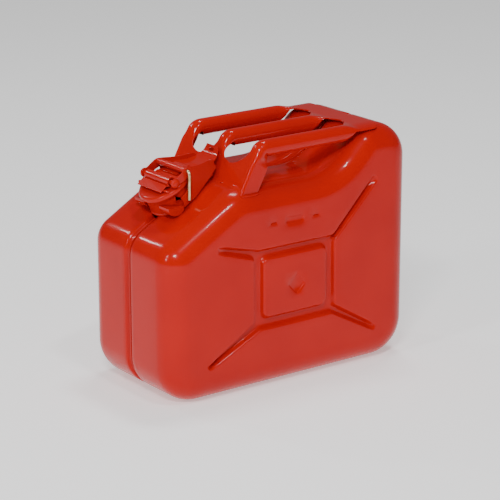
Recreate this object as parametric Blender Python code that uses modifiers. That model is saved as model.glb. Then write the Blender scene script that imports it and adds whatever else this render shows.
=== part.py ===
"""Pressed-steel jerry can with a cam-lever lid and a three-bar handle.

X runs along the can (spout end at -X), Y across it, Z up; the origin is at the bottom centre.
Lengths are written in millimetres and scaled to metres when the meshes are made.
"""
import math

import bmesh
import bpy
from mathutils import Matrix, Vector

MM = 0.001
COLLECTION = "jerry_can"

# Body, all in millimetres.
LENGTH = 345.0
WIDTH = 165.0
TOP_Z = 283.0               # rear hump under the handle's rear plate
DECK_Z = 237.0              # flat deck under the grip
SHEET = 1.0
EDGE_R = 28.6               # rounding between side panels and narrow faces
BOTTOM_R = 46.0
GAP = 0.3                   # running gap kept between separate pieces
SEAM_DEPTH = 4.5
SHOULDER_START_X = -77.0    # where the deck turns down towards the spout
SHOULDER_FRONT_Z = 180.6    # where the shoulder's plane meets the front face
HALF_LENGTH = LENGTH / 2
HALF_WIDTH = WIDTH / 2
SHOULDER_ANGLE = math.atan2(DECK_Z - SHOULDER_FRONT_Z, SHOULDER_START_X + HALF_LENGTH)

# Side view outline: corner x, corner z, corner radius, arc segments (counter-clockwise seen from -Y).
BODY_CORNERS = [
    (-HALF_LENGTH, 0.0, BOTTOM_R, 7),
    (HALF_LENGTH, 0.0, BOTTOM_R, 7),
    (HALF_LENGTH, TOP_Z, 40.0, 7),
    (108.0, TOP_Z, 32.0, 4),
    (64.4, DECK_Z, 79.0, 5),
    (SHOULDER_START_X, DECK_Z, 50.0, 3),
    (-HALF_LENGTH, SHOULDER_FRONT_Z, 30.0, 5),
]

# Pressed channels in the side panels: a ring round a raised centre plate, with four arms.
CHANNEL_DEPTH = 4.0
CHANNEL_WALL = 2.6
PLATE_CORNERS = [(-43.0, 85.5), (46.0, 85.5), (46.0, 155.0), (-43.0, 155.0)]
CHANNEL_OUTLINE = [
    (-121.0, 43.0), (-122.5, 37.0), (-47.5, 72.5), (54.5, 72.5), (121.0, 37.0), (120.0, 45.0),
    (58.8, 81.5), (58.3, 160.5), (119.0, 221.0), (118.5, 232.0), (56.0, 166.5), (-48.5, 166.5),
    (-107.0, 180.9), (-106.5, 172.8), (-56.5, 157.5), (-56.0, 82.0),
]

# Neck and closure: u runs up the shoulder, w out of it, from the neck's centre on the shoulder.
NECK_X = -110.0
NECK_Z = DECK_Z - (SHOULDER_START_X - NECK_X) * math.tan(SHOULDER_ANGLE)
NECK_R = 27.5
NECK_BORE_R = 25.9
NECK_TOP_W = 24.3
LID_R = 31.0
LID_RIM_W = 22.0
LID_TOP_W = 28.0
PIVOT = (-1.0, 33.0)        # lever pivot on the lid (u, w)
PIVOT_R = 3.0
HINGE = (38.0, 12.0)        # lid hinge behind the neck (u, w)
HINGE_R = 2.5
LOCK = (19.5, 33.8)         # locking pin's cross leg in the lever's knuckle (u, w)
LOCK_R = 2.0
WALL_OUT = 30.5             # outer face of the lever's side walls at the pivot
WALL_T = 1.5
TAPER_U = 12.0              # the walls draw together beyond this u
TAPER = 0.266               # by this much on each side per millimetre
LUG_CENTRE = (-16.5, 9.0)
LUG_HALF = 10.5
LUG_DROP = 8.0
LUG_REACH = (15.0, 34.0)    # from inside the neck's wall to the lug's outer face
EAR_Y = 15.0                # hinge ears
EAR_T = 1.6
BRIDGE_WIDTH = 46.0
STRAP_WIDTH = 26.0
TAB_START_U = 59.0          # the thumb tab narrows beyond this u

# Handle.
BAR_R = 9.6
BAR_Z = 277.8
BAR_STEP = 62.0             # from one bar to the next
BAR_YS = {"near": -BAR_STEP, "centre": 0.0, "far": BAR_STEP}
BAR_END_X = 86.0
BAR_START_Z = 263.6
FRONT_LEAN = math.atan(0.53)
FRONT_TOP = (-43.3, 278.0)  # a point on the front plate's outer face
PLATE_FOOT_Z = DECK_Z + 0.9
COLUMN_Z = 263.0            # the front plate ends here under each bar
SCALLOP_Z = 258.5           # and here between the bars
HANDLE_T = 1.5

RED = (0.62, 0.026, 0.014, 1.0)
ZINC = (0.62, 0.52, 0.30, 1.0)
RUBBER = (0.02, 0.02, 0.02, 1.0)


def clear_scene():
    for obj in list(bpy.data.objects):
        bpy.data.objects.remove(obj, do_unlink=True)


def make_collection(name):
    collection = bpy.data.collections.new(name)
    bpy.context.scene.collection.children.link(collection)
    return collection


def make_material(name, colour, roughness, metallic):
    material = bpy.data.materials.new(name)
    material.use_nodes = True
    shader = material.node_tree.nodes["Principled BSDF"]
    shader.inputs["Base Color"].default_value = colour
    shader.inputs["Roughness"].default_value = roughness
    shader.inputs["Metallic"].default_value = metallic
    return material


clear_scene()
PARTS = make_collection(COLLECTION)
CUTTERS = make_collection("cutters")


def add_part(name, mesh, colour=RED, roughness=0.25, metallic=0.0, parent=None):
    """Link a finished mesh as a named sub-part with its own material."""
    mesh.name = name
    obj = bpy.data.objects.new(name, mesh)
    mesh.materials.clear()
    mesh.materials.append(make_material(name + "_paint", colour, roughness, metallic))
    PARTS.objects.link(obj)
    obj.parent = parent
    return obj


def add_cutter(name, mesh, parent=None):
    obj = bpy.data.objects.new(name, mesh)
    obj.hide_render = True
    obj.display_type = "WIRE"
    CUTTERS.objects.link(obj)
    obj.parent = parent
    return obj


def boolean(obj, other, operation):
    modifier = obj.modifiers.new(operation.lower(), "BOOLEAN")
    modifier.operation = operation
    modifier.object = other
    modifier.solver = "EXACT"
    return modifier


def solidify(obj, thickness, offset=-1.0):
    modifier = obj.modifiers.new("sheet", "SOLIDIFY")
    modifier.thickness = thickness * MM
    modifier.offset = offset
    modifier.use_even_offset = True
    return modifier


def mesh_from_bmesh(bm, smooth=True):
    bmesh.ops.recalc_face_normals(bm, faces=bm.faces)
    mesh = bpy.data.meshes.new("mesh")
    bm.to_mesh(mesh)
    bm.free()
    if smooth:
        mesh.shade_smooth()
        mesh.set_sharp_from_angle(angle=math.radians(35))
    return mesh


def mesh_from_curve(curve):
    """Turn a curve into a welded mesh and remove the curve."""
    temp = bpy.data.objects.new("temp", curve)
    bpy.context.scene.collection.objects.link(temp)
    bpy.context.view_layer.update()
    evaluated = temp.evaluated_get(bpy.context.evaluated_depsgraph_get())
    mesh = bpy.data.meshes.new_from_object(evaluated)
    bpy.data.objects.remove(temp, do_unlink=True)
    bm = bmesh.new()
    bm.from_mesh(mesh)
    bmesh.ops.remove_doubles(bm, verts=bm.verts, dist=0.00001)
    return mesh_from_bmesh(bm)


def plate_mesh(outlines, thickness):
    """A flat outline (with any holes after it) in the XZ plane, centred on Y."""
    curve = bpy.data.curves.new("outline", "CURVE")
    curve.dimensions = "2D"
    curve.fill_mode = "BOTH"
    curve.extrude = thickness / 2 * MM
    for outline in outlines:
        spline = curve.splines.new("POLY")
        spline.points.add(len(outline) - 1)
        for point, (x, z) in zip(spline.points, outline):
            point.co = (x * MM, z * MM, 0.0, 1.0)
        spline.use_cyclic_u = True
    mesh = mesh_from_curve(curve)
    mesh.transform(Matrix.Rotation(math.radians(90), 4, "X"))
    return mesh


def rod_mesh(points, radius, sides=12, caps=True):
    """A round rod or tube along 3D points given in millimetres."""
    curve = bpy.data.curves.new("rod", "CURVE")
    curve.dimensions = "3D"
    curve.bevel_depth = radius * MM
    curve.bevel_resolution = sides // 2 - 2
    curve.use_fill_caps = caps
    spline = curve.splines.new("POLY")
    spline.points.add(len(points) - 1)
    for point, place in zip(spline.points, points):
        point.co = (*(Vector(place) * MM), 1.0)
    return mesh_from_curve(curve)


def turned_object(name, profile, steps, **options):
    """Spin a closed profile of (radius, height) round the local Z axis; its outer side runs downwards."""
    area = sum(a[0] * b[1] - b[0] * a[1] for a, b in zip(profile, profile[1:] + profile[:1]))
    if area > 0:
        profile = profile[::-1]
    bm = bmesh.new()
    verts = [bm.verts.new((r * MM, 0.0, h * MM)) for r, h in profile]
    for first, second in zip(verts, verts[1:] + verts[:1]):
        bm.edges.new((first, second))
    mesh = bpy.data.meshes.new("profile")
    bm.to_mesh(mesh)
    bm.free()
    obj = add_part(name, mesh, **options)
    screw = obj.modifiers.new("turn", "SCREW")
    screw.steps = steps
    screw.render_steps = steps
    screw.use_merge_vertices = True
    screw.merge_threshold = 0.00001
    screw.use_smooth_shade = True
    return obj


def corner_arc(before, corner, after, radius, segments, inset=0.0):
    """Points of a rounded polygon corner, moved inwards (to the left) by inset."""
    here = Vector(corner)
    towards = (here - Vector(before)).normalized()
    away = (Vector(after) - here).normalized()
    turn = math.atan2(towards.x * away.y - towards.y * away.x, towards.dot(away))
    side = math.copysign(1.0, turn)
    tangent = radius * math.tan(abs(turn) / 2)
    normal = Vector((-towards.y, towards.x)) * side
    centre = here - towards * tangent + normal * radius
    reach = radius - inset * side
    points = []
    for step in range(segments + 1):
        angle = turn * step / segments
        spoke = Matrix.Rotation(angle, 2) @ (-normal)
        points.append(tuple(centre + spoke * reach))
    return points


def rounded_outline(corners, inset=0.0):
    points = []
    for index, (x, z, radius, segments) in enumerate(corners):
        before = corners[index - 1][:2]
        after = corners[(index + 1) % len(corners)][:2]
        points += corner_arc(before, (x, z), after, radius, segments, inset)
    return points


def offset_polygon(points, distance):
    """Move each side of a counter-clockwise polygon inwards by distance, with mitred corners."""
    moved = []
    for index, here in enumerate(points):
        here = Vector(here)
        towards = (here - Vector(points[index - 1])).normalized()
        away = (Vector(points[(index + 1) % len(points)]) - here).normalized()
        left_in = Vector((-towards.y, towards.x))
        left_out = Vector((-away.y, away.x))
        mitre = (left_in + left_out) / (1.0 + left_in.dot(left_out))
        moved.append(tuple(here + mitre * distance))
    return moved


def strip_outline(centreline, thickness):
    """Closed outline of a bent strip from its centreline (u, w)."""
    sides = []
    count = len(centreline)
    for sign in (1.0, -1.0):
        side = []
        for index in range(count):
            here = Vector(centreline[index])
            before = Vector(centreline[max(index - 1, 0)])
            after = Vector(centreline[min(index + 1, count - 1)])
            towards = (here - before) if index else (after - here)
            away = (after - here) if index < count - 1 else (here - before)
            left_in = Vector((-towards.y, towards.x)).normalized()
            left_out = Vector((-away.y, away.x)).normalized()
            mitre = (left_in + left_out) / (1.0 + left_in.dot(left_out))
            side.append(tuple(here + mitre * (sign * thickness / 2)))
        sides.append(side)
    return sides[0] + sides[1][::-1]


def arc(centre, radius, start, end, segments):
    """Points on an arc, angles in degrees."""
    points = []
    for step in range(segments + 1):
        angle = math.radians(start + (end - start) * step / segments)
        points.append((centre[0] + radius * math.cos(angle), centre[1] + radius * math.sin(angle)))
    return points


def body_sections():
    """(distance from the middle plane, inset) of each ring from the seam to the side panel."""
    flat_end = HALF_WIDTH - EDGE_R
    sections = [(GAP / 2, SEAM_DEPTH), (2.6, SEAM_DEPTH), (5.6, 0.7), (7.6, 0.0), (flat_end, 0.0)]
    for step in range(1, 7):
        angle = math.radians(15 * step)
        sections.append((flat_end + EDGE_R * math.sin(angle), EDGE_R * (1 - math.cos(angle))))
    return sections


def fill_between(bm, loops):
    edges = []
    for loop in loops:
        for first, second in zip(loop, loop[1:] + loop[:1]):
            edges.append(bm.edges.get((first, second)) or bm.edges.new((first, second)))
    bmesh.ops.triangle_fill(bm, use_beauty=True, use_dissolve=False, edges=edges)


def bridge(bm, lower, upper):
    for index in range(len(lower)):
        after = (index + 1) % len(lower)
        bm.faces.new((lower[index], lower[after], upper[after], upper[index]))


def body_half(name, side):
    """One pressed half shell: the narrow faces from the seam, the rounding and the side panel."""
    bm = bmesh.new()

    def loop_at(points, depth):
        return [bm.verts.new((x * MM, side * depth * MM, z * MM)) for x, z in points]

    rings = [loop_at(rounded_outline(BODY_CORNERS, inset), depth) for depth, inset in body_sections()]
    for lower, upper in zip(rings, rings[1:]):
        bridge(bm, lower, upper)
    floor_depth = HALF_WIDTH - CHANNEL_DEPTH
    channel_top = loop_at(CHANNEL_OUTLINE, HALF_WIDTH)
    channel_floor = loop_at(offset_polygon(CHANNEL_OUTLINE, CHANNEL_WALL), floor_depth)
    plate_floor = loop_at(offset_polygon(PLATE_CORNERS, -CHANNEL_WALL), floor_depth)
    plate_top = loop_at(PLATE_CORNERS, HALF_WIDTH)
    fill_between(bm, [rings[-1], channel_top])
    bridge(bm, channel_top, channel_floor)
    fill_between(bm, [channel_floor, plate_floor])
    bridge(bm, plate_floor, plate_top)
    bm.faces.new(plate_top)
    bmesh.ops.recalc_face_normals(bm, faces=bm.faces)
    bm.faces.ensure_lookup_table()
    panel = bm.faces[-1]
    if panel.normal.y * side < 0:
        bmesh.ops.reverse_faces(bm, faces=bm.faces)
    mesh = bpy.data.meshes.new(name)
    bm.to_mesh(mesh)
    bm.free()
    mesh.shade_smooth()
    mesh.set_sharp_from_angle(angle=math.radians(35))
    half = add_part(name, mesh)
    solidify(half, SHEET)
    return half


def seam_bead():
    """Weld bead lying in the seam groove, from the front of the neck round under the can to its rear."""
    outline = rounded_outline(BODY_CORNERS, SEAM_DEPTH - 1.5)
    neck_clear = NECK_R + 3.0

    def clears_neck(point):
        along = (point[0] - NECK_X) / math.cos(SHOULDER_ANGLE)
        return point[1] < NECK_Z - 60 or abs(along) > neck_clear

    start = next(i for i, p in enumerate(outline) if p[0] < NECK_X and p[1] > 150)
    ordered = outline[start:] + outline[:start]
    front = (NECK_X - neck_clear * math.cos(SHOULDER_ANGLE), NECK_Z - neck_clear * math.sin(SHOULDER_ANGLE))
    rear = (NECK_X + neck_clear * math.cos(SHOULDER_ANGLE), NECK_Z + neck_clear * math.sin(SHOULDER_ANGLE))
    inward = Vector((math.sin(SHOULDER_ANGLE), -math.cos(SHOULDER_ANGLE))) * (SEAM_DEPTH - 1.5)
    run = [Vector(p) for p in ordered if clears_neck(p)]
    points = [Vector(front) + inward] + run + [Vector(rear) + inward]
    path = [(p.x, 0.0, p.y) for p in points]
    return add_part("seam_weld_bead", rod_mesh(path, 1.1, sides=6), roughness=0.4)


def add_empty(name, place, parent=None):
    empty = bpy.data.objects.new(name, None)
    empty.empty_display_size = 0.01
    empty.location = Vector(place) * MM
    empty.parent = parent
    PARTS.objects.link(empty)
    return empty


def shift(mesh, origin):
    """Move a mesh drawn in closure coordinates so that it sits right under an empty at origin (u, w)."""
    mesh.transform(Matrix.Translation(Vector((-origin[0], 0.0, -origin[1])) * MM))
    return mesh


def cross_rod(centre, radius, low, high, sides=12):
    return rod_mesh([(centre[0], low, centre[1]), (centre[0], high, centre[1])], radius, sides)


def make_neck(frame):
    flare = [(28.5, 0.9), (28.0, 2.0), (NECK_R, 3.4)]
    profile = flare + [(NECK_R, NECK_TOP_W - 2.0), (28.0, NECK_TOP_W - 1.0), (27.4, NECK_TOP_W)]
    profile += [(26.2, NECK_TOP_W), (NECK_BORE_R, NECK_TOP_W - 1.5), (NECK_BORE_R, -7.0)]
    profile += [(NECK_R - 0.3, -7.0), (NECK_R - 0.3, GAP), (28.5, GAP)]
    return turned_object("neck", profile, 40, parent=frame)


def make_lug(frame, label, side):
    """Half-oval lug on the neck's side that the lever's hook reaches round."""
    level = Matrix.Rotation(-SHOULDER_ANGLE, 2)
    oval = [(x * LUG_HALF, z * LUG_DROP) for x, z in arc((0, 0), 1.0, 180, 360, 10)]
    rim = 1.6
    outline = [(-LUG_HALF, rim)] + oval + [(LUG_HALF, rim)]
    outline = [tuple(level @ Vector(p) + Vector(LUG_CENTRE)) for p in outline]
    inner, outer = LUG_REACH
    mesh = plate_mesh([outline], outer - inner)
    mesh.transform(Matrix.Translation(Vector((0, side * (inner + outer) / 2, 0)) * MM))
    return add_part("neck_lug_" + label, mesh, parent=frame)


def make_hinge_bracket(frame):
    """Bracket with two ears that carries the lid's hinge pin behind the neck."""
    ear = arc(HINGE, 5.0, -20, 160, 8) + [(HINGE[0] - 6.5, 1.6), (HINGE[0] + 9.5, 1.6)]
    bracket = None
    for side in (-1, 1):
        mesh = plate_mesh([ear], EAR_T)
        mesh.transform(Matrix.Translation(Vector((0, side * EAR_Y, 0)) * MM))
        if bracket is None:
            bracket = add_part("hinge_bracket", mesh, parent=frame)
        else:
            boolean(bracket, add_cutter("ear_cutter", mesh, frame), "UNION")
    base = plate_mesh([[(33.5, GAP), (50.0, GAP), (50.0, 2.0), (33.5, 2.0)]], 36.0)
    boolean(bracket, add_cutter("bracket_base_cutter", base, frame), "UNION")
    bore = cross_rod(HINGE, HINGE_R + 0.15, -20, 20, 16)
    boolean(bracket, add_cutter("hinge_bore_cutter", bore, frame), "DIFFERENCE")
    return bracket


def make_lid(axis):
    """Lid cup, gasket, hinge strap, corrugated bridge and cross rod; all turn on the hinge pin."""
    inner_top = LID_TOP_W - 1.2
    cup = [(LID_R, LID_RIM_W), (LID_R, 25.2), (30.3, 26.6), (28.4, 27.5), (24.0, LID_TOP_W), (0.0, LID_TOP_W)]
    cup += [(0.0, inner_top), (23.6, inner_top), (27.4, 26.3), (29.0, 25.4), (29.7, 24.2), (29.7, LID_RIM_W)]
    holder = add_empty("lid_turning_axis", (-HINGE[0], 0, -HINGE[1]), axis)
    turned_object("lid_cup", cup, 40, parent=holder)
    gasket = [(28.6, NECK_TOP_W + GAP), (28.6, 25.0), (27.0, 26.0), (19.0, 26.4), (19.0, NECK_TOP_W + GAP)]
    turned_object("lid_gasket", gasket, 32, colour=RUBBER, roughness=0.7, parent=holder)

    hump = arc(PIVOT, PIVOT_R + 1.9, 200, -20, 9)
    line = [(-18.5, 31.9), (-8.5, 33.6)] + hump + [(5.6, 29.25), (11.5, 29.25)]
    bridge_mesh = plate_mesh([strip_outline(line, 1.3)], BRIDGE_WIDTH)
    add_part("lid_bridge", shift(bridge_mesh, HINGE), parent=axis)

    knuckle = arc(HINGE, HINGE_R + 1.4, 130, -150, 12)
    strap_line = [(12.6, 28.95), (25.5, 28.95), (30.5, 27.8), (33.4, 24.6), (35.0, 18.6)] + knuckle
    strap_mesh = plate_mesh([strip_outline(strap_line, 1.2)], STRAP_WIDTH)
    add_part("lid_hinge_strap", shift(strap_mesh, HINGE), parent=axis)

    rod = cross_rod((-12.5, 29.9), 1.6, -29.0, 29.0, 10)
    add_part("lid_cross_rod", shift(rod, HINGE), roughness=0.3, parent=axis)

    head_y = WALL_OUT + 0.4
    pivot = cross_rod(PIVOT, PIVOT_R, -head_y, head_y, 16)
    pin = add_part("lever_pivot_pin", shift(pivot, HINGE), parent=axis)
    for side in (-1, 1):
        dome = bmesh.new()
        bmesh.ops.create_uvsphere(dome, u_segments=14, v_segments=8, radius=5.4 * MM)
        seat = Vector((PIVOT[0] - HINGE[0], side * head_y, PIVOT[1] - HINGE[1])) * MM
        face = Matrix.Translation(seat)
        bmesh.ops.bisect_plane(dome, geom=dome.verts[:] + dome.edges[:] + dome.faces[:], plane_co=(0, 0, 0),
                               plane_no=(0, -side, 0), clear_outer=True)
        bmesh.ops.holes_fill(dome, edges=[e for e in dome.edges if e.is_boundary])
        bmesh.ops.transform(dome, matrix=face @ Matrix.Diagonal((1, 0.55, 1, 1)), verts=dome.verts)
        boolean(pin, add_cutter("pin_head_cutter", mesh_from_bmesh(dome), axis), "UNION")


def wall_y(u, outer):
    """Half-width of the lever's side wall at u; the walls draw together towards the thumb tab."""
    taper = max(0.0, u - TAPER_U) * TAPER
    return (WALL_OUT if outer else WALL_OUT - WALL_T) - taper


def lever_wall_outline():
    """Side wall: pivot lobe, sloping top, rear end, foot and the hook that reaches round the lug."""
    lobe = arc(PIVOT, 5.4, 215, 50, 8)
    top = [(9.0, 36.6), (19.0, 38.2), (26.0, 34.6), (34.0, 30.0), (45.0, 23.6), (58.0, 17.2)]
    rear = [(59.5, 13.0), (56.5, 5.0)]
    foot = [(42.0, 3.0), (15.0, 1.5), (-4.0, 1.3)]
    hook = arc(LUG_CENTRE, 13.2, -34, 52, 7)
    tip = [(-8.6, 20.2)]
    notch = arc(PIVOT, 19.4, -118, -16, 9)
    root = [(10.5, 27.5), (2.5, 28.4)]
    return (lobe + top + rear + foot + hook + tip + notch + root)[::-1]


def make_lever(axis):
    def tapered(mesh, side):
        bm = bmesh.new()
        bm.from_mesh(mesh)
        everything = bm.verts[:] + bm.edges[:] + bm.faces[:]
        bmesh.ops.bisect_plane(bm, geom=everything, plane_co=(TAPER_U * MM, 0, 0), plane_no=(1, 0, 0))
        for vert in bm.verts:
            vert.co.y -= side * max(0.0, vert.co.x - TAPER_U * MM) * TAPER
        return mesh_from_bmesh(bm)

    lever = None
    middle = WALL_OUT - WALL_T / 2
    for side in (-1, 1):
        mesh = plate_mesh([lever_wall_outline()], WALL_T)
        mesh.transform(Matrix.Translation(Vector((0, side * middle, 0)) * MM))
        mesh = shift(tapered(mesh, side), PIVOT)
        if lever is None:
            lever = add_part("cam_lever", mesh, parent=axis)
        else:
            boolean(lever, add_cutter("far_wall_cutter", mesh, axis), "UNION")

    web_line = [(22.6, 35.4), (28.0, 31.6), (34.0, 27.2), (45.0, 20.6), (57.0, 14.6)]
    web_line += [(66.0, 13.2), (70.0, 14.8), (75.0, 19.0)]
    web = plate_mesh([strip_outline(web_line, 1.4)], 2.0)
    for vert in web.vertices:
        u = vert.co.x / MM
        half = wall_y(u, False) + WALL_T / 2
        if u >= TAB_START_U:
            half = 17.8 - (u - TAB_START_U) * 0.42
        vert.co.y = math.copysign(half, vert.co.y) * MM
    boolean(lever, add_cutter("web_cutter", shift(web, PIVOT), axis), "UNION")

    knuckle_half = wall_y(LOCK[0], False) + WALL_T / 2
    knuckle = cross_rod(LOCK, 3.8, -knuckle_half, knuckle_half, 16)
    boolean(lever, add_cutter("knuckle_cutter", shift(knuckle, PIVOT), axis), "UNION")
    lock_bore = cross_rod(LOCK, LOCK_R + 0.25, -40, 40, 16)
    boolean(lever, add_cutter("lock_bore_cutter", shift(lock_bore, PIVOT), axis), "DIFFERENCE")
    pivot_bore = cross_rod(PIVOT, PIVOT_R + 0.25, -40, 40, 16)
    boolean(lever, add_cutter("pivot_bore_cutter", shift(pivot_bore, PIVOT), axis), "DIFFERENCE")
    slot_bm = bmesh.new()
    bmesh.ops.create_cube(slot_bm, size=1.0)
    slot_place = Matrix.Translation(Vector((71.5, 0, 16.0)) * MM)
    bmesh.ops.transform(slot_bm, matrix=slot_place @ Matrix.Diagonal((3.2 * MM, 8 * MM, 14 * MM, 1)),
                        verts=slot_bm.verts)
    slot = shift(mesh_from_bmesh(slot_bm, False), PIVOT)
    boolean(lever, add_cutter("tab_slot_cutter", slot, axis), "DIFFERENCE")
    return lever


def make_locking_pin(axis):
    """Wire pin: a cross leg through the knuckle, a round bend and a leg that hangs straight down."""
    down = Vector((-math.sin(SHOULDER_ANGLE), 0, -math.cos(SHOULDER_ANGLE)))
    bend_r, leg = 4.5, 32.0
    out_y = -wall_y(LOCK[0], True) - 3.6
    corner = Vector((LOCK[0], out_y - LOCK_R / 2, LOCK[1]))
    inward = Vector((0, 1, 0))
    points = [Vector((LOCK[0], 22.0, LOCK[1]))]
    centre = corner + inward * bend_r + down * bend_r
    for step in range(7):
        angle = math.radians(15 * step)
        points.append(centre - down * (bend_r * math.cos(angle)) - inward * (bend_r * math.sin(angle)))
    points.append(corner + down * leg)
    mesh = rod_mesh([tuple(p) for p in points], LOCK_R, 12)
    return add_part("locking_pin", shift(mesh, LOCK), ZINC, 0.3, 1.0, axis)


def front_face_x(z):
    return FRONT_TOP[0] - (FRONT_TOP[1] - z) * math.tan(FRONT_LEAN)


def rounding_drop(y):
    """How far the can's top edge rounding lies under the deck at y."""
    beyond = max(0.0, abs(y) - (HALF_WIDTH - EDGE_R))
    return EDGE_R - math.sqrt(EDGE_R ** 2 - beyond ** 2)


def make_front_plate():
    """Leaning front plate of the handle with folded side flanges and three short columns."""
    lean = math.cos(FRONT_LEAN)
    column, scallop = (COLUMN_Z - PLATE_FOOT_Z) / lean, (SCALLOP_Z - PLATE_FOOT_Z) / lean
    span = BAR_STEP - 2 * BAR_R
    edge = BAR_STEP + BAR_R
    top = []
    for y in sorted(BAR_YS.values()):
        top += [(y - BAR_R, column), (y + BAR_R, column)]
        if y < BAR_STEP:
            for step in range(1, 10):
                dip = math.sin(math.pi * step / 10) ** 0.6
                top.append((y + BAR_R + span * step / 10, column - dip * (column - scallop)))
    foot_ys = [edge, 68.0, 64.0, 60.0, 54.0]
    foot = [(y, -rounding_drop(y) / lean) for y in foot_ys]
    outline = foot[::-1] + top[::-1] + [(-y, rise) for y, rise in foot]
    mesh = plate_mesh([outline], HANDLE_T)
    # Outline x runs across the can (world Y); the plate then leans back about its foot.
    mesh.transform(Matrix.Rotation(math.radians(90), 4, "Z"))
    mesh.transform(Matrix.Rotation(FRONT_LEAN, 4, "Y"))
    foot_place = Vector((front_face_x(PLATE_FOOT_Z) + HANDLE_T / 2, 0, PLATE_FOOT_Z))
    mesh.transform(Matrix.Translation(foot_place * MM))
    plate = add_part("handle_front_plate", mesh)
    top_z = 261.2
    low_z = PLATE_FOOT_Z - rounding_drop(edge)
    flange = [(front_face_x(low_z) + 0.8, low_z), (front_face_x(low_z) + 22.0, low_z)]
    flange += [(-38.0, 250.0), (-33.0, top_z), (front_face_x(top_z) + 0.8, top_z)]
    for side, label in ((-1, "near"), (1, "far")):
        flange_mesh = plate_mesh([flange], HANDLE_T)
        flange_mesh.transform(Matrix.Translation(Vector((0, side * (edge - HANDLE_T / 2), 0)) * MM))
        boolean(plate, add_cutter("flange_cutter_" + label, flange_mesh), "UNION")
    return plate


def make_bar(label, y):
    """Hollow handle bar that rises from the front plate and runs back to the rear plate."""
    behind = BAR_R / math.cos(FRONT_LEAN)
    low = (front_face_x(BAR_START_Z) + behind, BAR_START_Z)
    corner_x = front_face_x(BAR_Z) + behind
    bend_r = 8.5
    lean_dir = Vector((math.sin(FRONT_LEAN), math.cos(FRONT_LEAN)))
    turn = math.pi / 2 - FRONT_LEAN
    tangent = bend_r * math.tan(turn / 2)
    corner = Vector((corner_x, BAR_Z))
    centre = corner - lean_dir * tangent + Vector((lean_dir.y, -lean_dir.x)) * bend_r
    path = [low]
    for step in range(6):
        angle = turn * step / 5
        spoke = Matrix.Rotation(-angle, 2) @ Vector((-lean_dir.y, lean_dir.x))
        path.append(tuple(centre + spoke * bend_r))
    path.append((BAR_END_X, BAR_Z))
    mesh = rod_mesh([(x, y, z) for x, z in path], BAR_R, 16, caps=False)
    bar = add_part("handle_bar_" + label, mesh)
    solidify(bar, HANDLE_T)
    return bar


def make_rear_plate():
    """Flat rear plate on the hump, with a tongue reaching forward over the end of each bar."""
    front_x, root_x, rear_x, half = BAR_END_X + 0.4, 98.0, 131.0, 72.0
    corner_r, scallop, level = 12.0, 8.0, TOP_Z + GAP + HANDLE_T / 2
    span = BAR_STEP - 2 * BAR_R
    outline = []
    for y in sorted(BAR_YS.values(), reverse=True):
        outline += [(front_x, y + BAR_R), (front_x, y - BAR_R)]
        if y > -BAR_STEP:
            for step in range(9):
                t = step / 8
                outline.append((root_x + scallop * math.sin(math.pi * t), y - BAR_R - span * t))
    outline += arc((rear_x - corner_r, -half + corner_r), corner_r, -90, 0, 5)
    outline += arc((rear_x - corner_r, half - corner_r), corner_r, 0, 90, 5)
    mesh = plate_mesh([outline], HANDLE_T)
    mesh.transform(Matrix.Rotation(math.radians(-90), 4, "X"))
    mesh.transform(Matrix.Translation(Vector((0, 0, level)) * MM))
    return add_part("handle_rear_plate", mesh)


def make_breather():
    """Breather tube from the neck's bore to the air space in the hump."""
    corners = [(-98.7, 235.8), (-88.6, 218.5), (20.0, 220.0), (70.0, 222.0), (112.0, 262.0), (131.0, 262.0)]
    path = [corners[0]]
    for index in range(1, len(corners) - 1):
        path += corner_arc(corners[index - 1], corners[index], corners[index + 1], 9.0, 3)
    path.append(corners[-1])
    mesh = rod_mesh([(x, 0.0, z) for x, z in path], 4.0, 8, caps=False)
    tube = add_part("breather_tube", mesh, roughness=0.4)
    solidify(tube, 0.9)
    return tube


def build():
    halves = [body_half("body_half_near", -1), body_half("body_half_far", 1)]
    closure = add_empty("closure_frame", (NECK_X, 0, NECK_Z))
    closure.rotation_euler = (0, -SHOULDER_ANGLE, 0)
    hole = rod_mesh([(0, 0, -30), (0, 0, 30)], NECK_R + GAP, 40)
    hole_cutter = add_cutter("neck_hole_cutter", hole, closure)
    for half in halves:
        boolean(half, hole_cutter, "DIFFERENCE")
    seam_bead()
    make_neck(closure)
    neck_core = add_cutter("neck_core_cutter", rod_mesh([(0, 0, -5), (0, 0, 30)], NECK_R + 1.3, 40), closure)
    for label, side in (("near", -1), ("far", 1)):
        boolean(make_lug(closure, label, side), neck_core, "DIFFERENCE")
    make_hinge_bracket(closure)
    add_part("hinge_pin", cross_rod(HINGE, HINGE_R, -17.5, 17.5, 12), ZINC, 0.35, 1.0, closure)

    lid_axis = add_empty("lid_axis", (HINGE[0], 0, HINGE[1]), closure)
    make_lid(lid_axis)
    lever_axis = add_empty("lever_axis", (PIVOT[0] - HINGE[0], 0, PIVOT[1] - HINGE[1]), lid_axis)
    make_lever(lever_axis)
    pin_axis = add_empty("pin_axis", (LOCK[0] - PIVOT[0], 0, LOCK[1] - PIVOT[1]), lever_axis)
    make_locking_pin(pin_axis)

    make_front_plate()
    for label, y in BAR_YS.items():
        make_bar(label, y)
    make_rear_plate()
    make_breather()


build()
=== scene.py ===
"""Looks of the pressed-steel jerry can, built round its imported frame.

Lengths are written in millimetres and scaled to metres when the meshes are made.
"""
import math

import bmesh
import bpy
from mathutils import Matrix, Vector
from mathutils.geometry import delaunay_2d_cdt


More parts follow.
